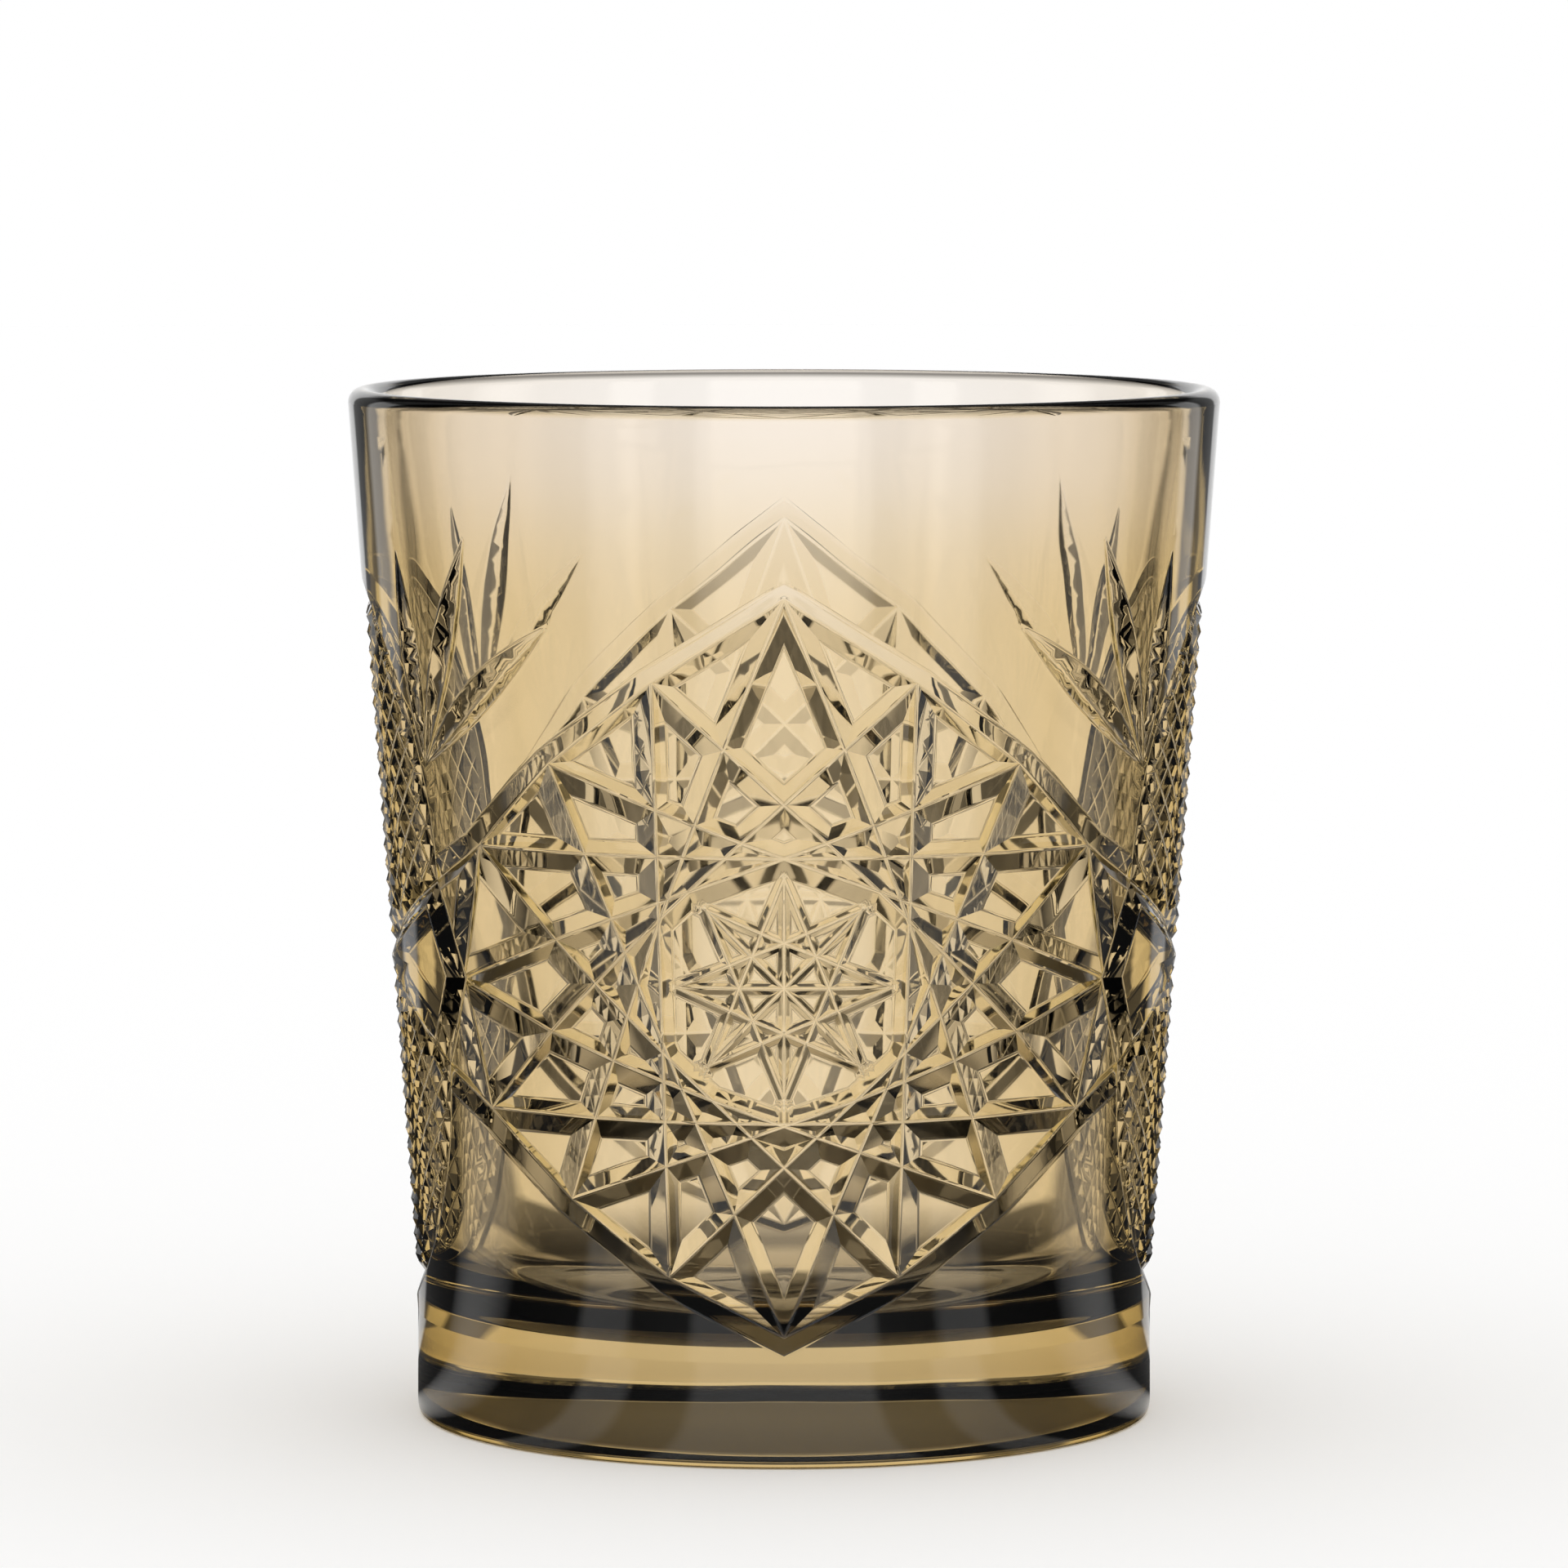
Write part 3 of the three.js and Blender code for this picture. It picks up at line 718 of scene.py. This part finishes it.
def glass_material(glass):
    """Pressed glass, coloured outside, paler towards the rim, deeper edge-on partly as painted shade, and
    rough and darkened with painted shade where stippled.
    """
    material = bpy.data.materials.new("tinted_glass")
    material.use_nodes = True
    tree = material.node_tree
    tree.nodes.clear()
    link = tree.links.new
    place = add_node(tree, "ShaderNodeTexCoord", (-1300, 0))

    parts = add_node(tree, "ShaderNodeSeparateXYZ", (-1100, 200))
    fade = add_node(
        tree, "ShaderNodeMapRange", (-900, 200), {"From Min": glass.fade_start, "From Max": glass.fade_end},
        interpolation_type="SMOOTHSTEP",
    )
    tint = add_node(
        tree, "ShaderNodeMix", (-650, 200),
        {COLOUR_A: (*glass.deep_tint, 1), COLOUR_B: (*glass.pale_tint, 1)}, data_type="RGBA",
    )
    # Painted shade, partly real: the tint deepens towards edge-on, where the coat is seen at a slant and the
    # edges are darkened further
    facing = add_node(tree, "ShaderNodeLayerWeight", (-900, 650), {"Blend": glass.facing_blend})
    edge = add_node(tree, "ShaderNodeMix", (-520, 450), {COLOUR_B: (*glass.edge_tint_and_shade, 1)}, data_type="RGBA")
    coat = add_node(tree, "ShaderNodeAttribute", (-900, 450), attribute_name="coat")
    coated = add_node(tree, "ShaderNodeMix", (-400, 300), {COLOUR_A: (1, 1, 1, 1)}, data_type="RGBA")
    link(place.outputs["Object"], parts.inputs[0])
    link(parts.outputs["Z"], fade.inputs["Value"])
    link(fade.outputs["Result"], tint.inputs[0])
    link(facing.outputs["Facing"], edge.inputs[0])
    link(tint.outputs[COLOUR_RESULT], edge.inputs[COLOUR_A])
    link(coat.outputs["Fac"], coated.inputs[0])
    link(edge.outputs[COLOUR_RESULT], coated.inputs[COLOUR_B])

    wave = add_node(tree, "ShaderNodeTexNoise", (-900, -250), {"Scale": 70, "Detail": 1})
    bump = add_node(tree, "ShaderNodeBump", (-400, -250), {"Strength": 0.1, "Distance": 0.0008})
    rough = add_node(
        tree, "ShaderNodeMapRange", (-400, 0),
        {"From Min": 0.35, "From Max": 0.75, "To Min": 0.005, "To Max": 0.04},
    )
    under = add_node(tree, "ShaderNodeAttribute", (-400, -80), attribute_name="stipple_and_shade")
    stippled = add_node(tree, "ShaderNodeMix", (-250, 0), {VALUE_B: glass.stipple_roughness})
    # Painted shade: the stippled recess is darkened towards its shade tint
    recess_shaded = add_node(
        tree, "ShaderNodeMix", (-250, 300), {COLOUR_B: (*glass.recess_shade_tint, 1)}, data_type="RGBA"
    )
    link(place.outputs["Object"], wave.inputs["Vector"])
    link(wave.outputs[0], bump.inputs["Height"])
    link(wave.outputs[0], rough.inputs["Value"])
    link(under.outputs["Fac"], stippled.inputs[0])
    link(rough.outputs["Result"], stippled.inputs[VALUE_A])
    link(under.outputs["Fac"], recess_shaded.inputs[0])
    link(coated.outputs[COLOUR_RESULT], recess_shaded.inputs[COLOUR_A])

    shader = add_node(
        tree, "ShaderNodeBsdfPrincipled", (-100, 200), {"IOR": glass.refraction, "Transmission Weight": 1}
    )
    absorb = add_node(
        tree, "ShaderNodeVolumeAbsorption", (-100, -400),
        {"Color": (*glass.inner_tint, 1), "Density": glass.inner_density},
    )
    output = add_node(tree, "ShaderNodeOutputMaterial", (250, 200))
    link(stippled.outputs[VALUE_RESULT], shader.inputs["Roughness"])
    link(recess_shaded.outputs[COLOUR_RESULT], shader.inputs["Base Color"])
    link(bump.outputs[0], shader.inputs["Normal"])
    link(shader.outputs[0], output.inputs["Surface"])
    link(absorb.outputs[0], output.inputs["Volume"])
    return material


def surface_masks(body, sheets, lip_rows):
    """Values at the points of all sheets: the coat, which ends over the lip, and the stippled recess, which
    is rough and darkened with painted shade.
    """
    coats = [np.ones(len(sheet[0])) for sheet in sheets[:-1]]
    coats.append(np.repeat(lip_rows, 4 * QUARTER_COLUMNS + 1))
    points = np.vstack([sheet[0] for sheet in sheets])
    reach = body.ring_inner + body.stipple_margin - np.hypot(*points[:, :2].T)
    stipple_and_shade = np.clip(reach / body.stipple_fade, 0, 1) * (points[:, 2] <= body.punt_depth)
    return {"coat": np.concatenate(coats), "stipple_and_shade": stipple_and_shade}


class TUMBLER_OT_build_glass(bpy.types.Operator):
    """Build the tumbler: turned foot and bowl, and the cut wall between them"""

    bl_idname = "tumbler.build_glass"
    bl_label = "Build Glass"

    def execute(self, context):
        scene = context.scene
        body, cuts = millimetres(scene.tumbler_body), millimetres(scene.tumbler_cuts)
        wall = CutWall(body, cuts, np.tan(scene.tumbler_cuts.mitre_half_angle))
        bowl = bowl_profile(body, wall)
        sheets = [turned_sheet(foot_profile(body)), *wall.sheets(), turned_sheet(bowl)]
        lip_rows = np.interp(np.arange(len(bowl)), COAT_ROWS, (1, 0))
        mesh = joined_mesh("tumbler_glass", sheets, surface_masks(body, sheets, lip_rows))
        mesh.materials.append(glass_material(scene.tumbler_glass))
        piece = bpy.data.objects.new("tumbler_glass", mesh)
        scene.collection.objects.link(piece)
        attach(piece, "root")
        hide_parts("tumbler")
        return {"FINISHED"}


def fill_ramp(ramp, stops):
    """Give a colour ramp grey stops, each a position and a value."""
    while len(ramp.color_ramp.elements) < len(stops):
        ramp.color_ramp.elements.new(0.5)
    for element, (position, value) in zip(ramp.color_ramp.elements, stops):
        element.position = position
        element.color = (value, value, value, 1)


def studio_shade():
    """Node group: how bright glass shows the studio in a direction, in bands all round and dark overhead."""
    tree = bpy.data.node_groups.new("studio_shade", "ShaderNodeTree")
    tree.interface.new_socket("Direction", in_out="INPUT", socket_type="NodeSocketVector")
    tree.interface.new_socket("Brightness", in_out="OUTPUT", socket_type="NodeSocketFloat")
    link = tree.links.new
    enter = add_node(tree, "NodeGroupInput", (-1000, 0))
    level = add_node(tree, "ShaderNodeVectorMath", (-800, 150), {1: (1, 1, 0)}, operation="MULTIPLY")
    heading = add_node(tree, "ShaderNodeVectorMath", (-600, 150), operation="NORMALIZE")
    parts = add_node(tree, "ShaderNodeSeparateXYZ", (-400, 150))
    aside = add_node(tree, "ShaderNodeMath", (-200, 150), operation="ABSOLUTE")
    panels = add_node(tree, "ShaderNodeValToRGB", (0, 150))
    fill_ramp(panels, PANELS)
    whole = add_node(tree, "ShaderNodeVectorMath", (-600, -150), operation="NORMALIZE")
    up = add_node(tree, "ShaderNodeSeparateXYZ", (-400, -150))
    roof = add_node(
        tree, "ShaderNodeMapRange", (-200, -150),
        {"From Min": 0.26, "From Max": 0.38, "To Min": 1, "To Max": 0.12}, interpolation_type="SMOOTHSTEP",
    )
    both = add_node(tree, "ShaderNodeMath", (300, 0), operation="MULTIPLY")
    leave = add_node(tree, "NodeGroupOutput", (500, 0))
    link(enter.outputs[0], level.inputs[0])
    link(level.outputs[0], heading.inputs[0])
    link(heading.outputs[0], parts.inputs[0])
    link(parts.outputs["X"], aside.inputs[0])
    link(aside.outputs[0], panels.inputs[0])
    link(enter.outputs[0], whole.inputs[0])
    link(whole.outputs[0], up.inputs[0])
    link(up.outputs["Z"], roof.inputs["Value"])
    link(panels.outputs[0], both.inputs[0])
    link(roof.outputs["Result"], both.inputs[1])
    link(both.outputs[0], leave.inputs[0])
    return tree


def seen_in_glass(tree, shade, direction, place, dimmer=None):
    """White, but to rays straight from glass or gloss the studio's shade, times the dimmer if given."""
    x, y = place
    link = tree.links.new
    path = add_node(tree, "ShaderNodeLightPath", (x - 400, y - 250))
    either = add_node(tree, "ShaderNodeMath", (x - 200, y - 250), operation="MAXIMUM")
    first = add_node(tree, "ShaderNodeMath", (x - 200, y - 450), {1: 0.5}, operation="LESS_THAN")
    direct = add_node(tree, "ShaderNodeMath", (x - 50, y - 350), operation="MULTIPLY")
    group = add_node(tree, "ShaderNodeGroup", (x - 200, y + 50), node_tree=shade)
    dimmed = add_node(tree, "ShaderNodeMath", (x - 50, y + 150), {1: 1}, operation="MULTIPLY")
    mix = add_node(tree, "ShaderNodeMix", place, {COLOUR_A: (1, 1, 1, 1)}, data_type="RGBA")
    link(path.outputs["Is Glossy Ray"], either.inputs[0])
    link(path.outputs["Is Transmission Ray"], either.inputs[1])
    link(path.outputs["Diffuse Depth"], first.inputs[0])
    link(either.outputs[0], direct.inputs[0])
    link(first.outputs[0], direct.inputs[1])
    link(direction, group.inputs[0])
    link(group.outputs[0], dimmed.inputs[0])
    if dimmer:
        link(dimmer, dimmed.inputs[1])
    link(direct.outputs[0], mix.inputs[0])
    link(dimmed.outputs[0], mix.inputs[COLOUR_B])
    return mix.outputs[COLOUR_RESULT]


def floor_material(stage, shade):
    """White floor, which glass shows in the studio's shade, dimmed with painted shade by the angle and a
    painted shadow under the foot.
    """
    paint = bpy.data.materials.new("floor_white")
    paint.use_nodes = True
    tree = paint.node_tree
    link = tree.links.new
    shader = tree.nodes["Principled BSDF"]
    shader.inputs["Roughness"].default_value = 0.6
    shader.inputs["Specular IOR Level"].default_value = 0
    place = add_node(tree, "ShaderNodeTexCoord", (-1500, 0))
    facing = add_node(tree, "ShaderNodeLayerWeight", (-1500, 250))
    # Painted shade by the angle at which glass shows the floor
    glance = add_node(tree, "ShaderNodeValToRGB", (-1300, 250))
    fill_ramp(glance, FLOOR_GLANCE)
    reach = add_node(tree, "ShaderNodeVectorMath", (-1300, 550), operation="LENGTH")
    # Painted shadow on the floor under the foot, for rays from glass
    shadow = add_node(
        tree, "ShaderNodeMapRange", (-1100, 550),
        {"From Min": stage.shadow_start, "From Max": stage.shadow_end, "To Min": 0.2},
        interpolation_type="SMOOTHSTEP",
    )
    both = add_node(tree, "ShaderNodeMath", (-900, 400), operation="MULTIPLY")
    seen = seen_in_glass(tree, shade, place.outputs["Object"], (-450, 0), both.outputs[0])
    tint = add_node(
        tree, "ShaderNodeMix", (-250, 0), {0: 1, COLOUR_A: (*stage.floor_colour, 1)}, data_type="RGBA",
        blend_type="MULTIPLY",
    )
    link(facing.outputs["Facing"], glance.inputs[0])
    link(place.outputs["Object"], reach.inputs[0])
    link(reach.outputs["Value"], shadow.inputs["Value"])
    link(glance.outputs[0], both.inputs[0])
    link(shadow.outputs["Result"], both.inputs[1])
    link(seen, tint.inputs[COLOUR_B])
    link(tint.outputs[COLOUR_RESULT], shader.inputs["Base Color"])
    return paint


def studio_world(shade):
    """White all round, which glass shows in the studio's shade."""
    world = bpy.data.worlds.new("studio")
    world.use_nodes = True
    tree = world.node_tree
    place = add_node(tree, "ShaderNodeTexCoord", (-900, 0))
    seen = seen_in_glass(tree, shade, place.outputs["Generated"], (-300, 0))
    tree.links.new(seen, tree.nodes["Background"].inputs["Color"])
    return world


class TUMBLER_OT_set_stage(bpy.types.Operator):
    """Set the floor, the light and the camera"""

    bl_idname = "tumbler.set_stage"
    bl_label = "Set Stage"

    def execute(self, context):
        scene = context.scene
        stage = scene.tumbler_stage
        scene.view_settings.view_transform = "Standard"
        shade = studio_shade()
        turn = np.linspace(0, 2 * np.pi, stage.columns, endpoint=False)
        rim = stage.floor_radius * np.column_stack([np.cos(turn), np.sin(turn), 0 * turn])
        mesh = bpy.data.meshes.new("floor")
        mesh.from_pydata(rim.tolist(), [], [list(range(stage.columns))])
        mesh.materials.append(floor_material(stage, shade))
        floor = bpy.data.objects.new("floor", mesh)
        scene.collection.objects.link(floor)
        floor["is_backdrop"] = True
        scene.world = studio_world(shade)
        lens = bpy.data.cameras.new("camera")
        lens.lens = stage.lens
        lens.sensor_width = 36
        camera = bpy.data.objects.new("camera", lens)
        camera.location = (0, -stage.camera_distance, stage.camera_height)
        aim = Vector((0, 0, stage.aim_height)) - camera.location
        camera.rotation_euler = aim.to_track_quat("-Z", "Y").to_euler()
        scene.collection.objects.link(camera)
        scene.camera = camera
        return {"FINISHED"}


class TUMBLER_PT_sidebar(bpy.types.Panel):
    """Lists the steps that build the tumbler"""

    bl_idname = "TUMBLER_PT_sidebar"
    bl_label = "Cut Glass Tumbler"
    bl_space_type = "VIEW_3D"
    bl_region_type = "UI"
    bl_category = "Tumbler"

    def draw(self, context):
        for operator in OPERATORS:
            self.layout.operator(operator.bl_idname)


GROUPS = {
    "tumbler_body": TumblerBody,
    "tumbler_cuts": TumblerCuts,
    "tumbler_glass": TumblerGlass,
    "tumbler_stage": TumblerStage,
}
OPERATORS = (TUMBLER_OT_build_glass, TUMBLER_OT_set_stage)


def register():
    for name, group in GROUPS.items():
        bpy.utils.register_class(group)
        setattr(bpy.types.Scene, name, PointerProperty(type=group))
    for kind in (*OPERATORS, TUMBLER_PT_sidebar):
        bpy.utils.register_class(kind)


def unregister():
    for kind in (TUMBLER_PT_sidebar, *reversed(OPERATORS)):
        bpy.utils.unregister_class(kind)
    for name, group in reversed(GROUPS.items()):
        delattr(bpy.types.Scene, name)
        bpy.utils.unregister_class(group)


def main():
    register()
    bpy.ops.tumbler.build_glass()
    bpy.ops.tumbler.set_stage()


if __name__ == "__main__":
    main()
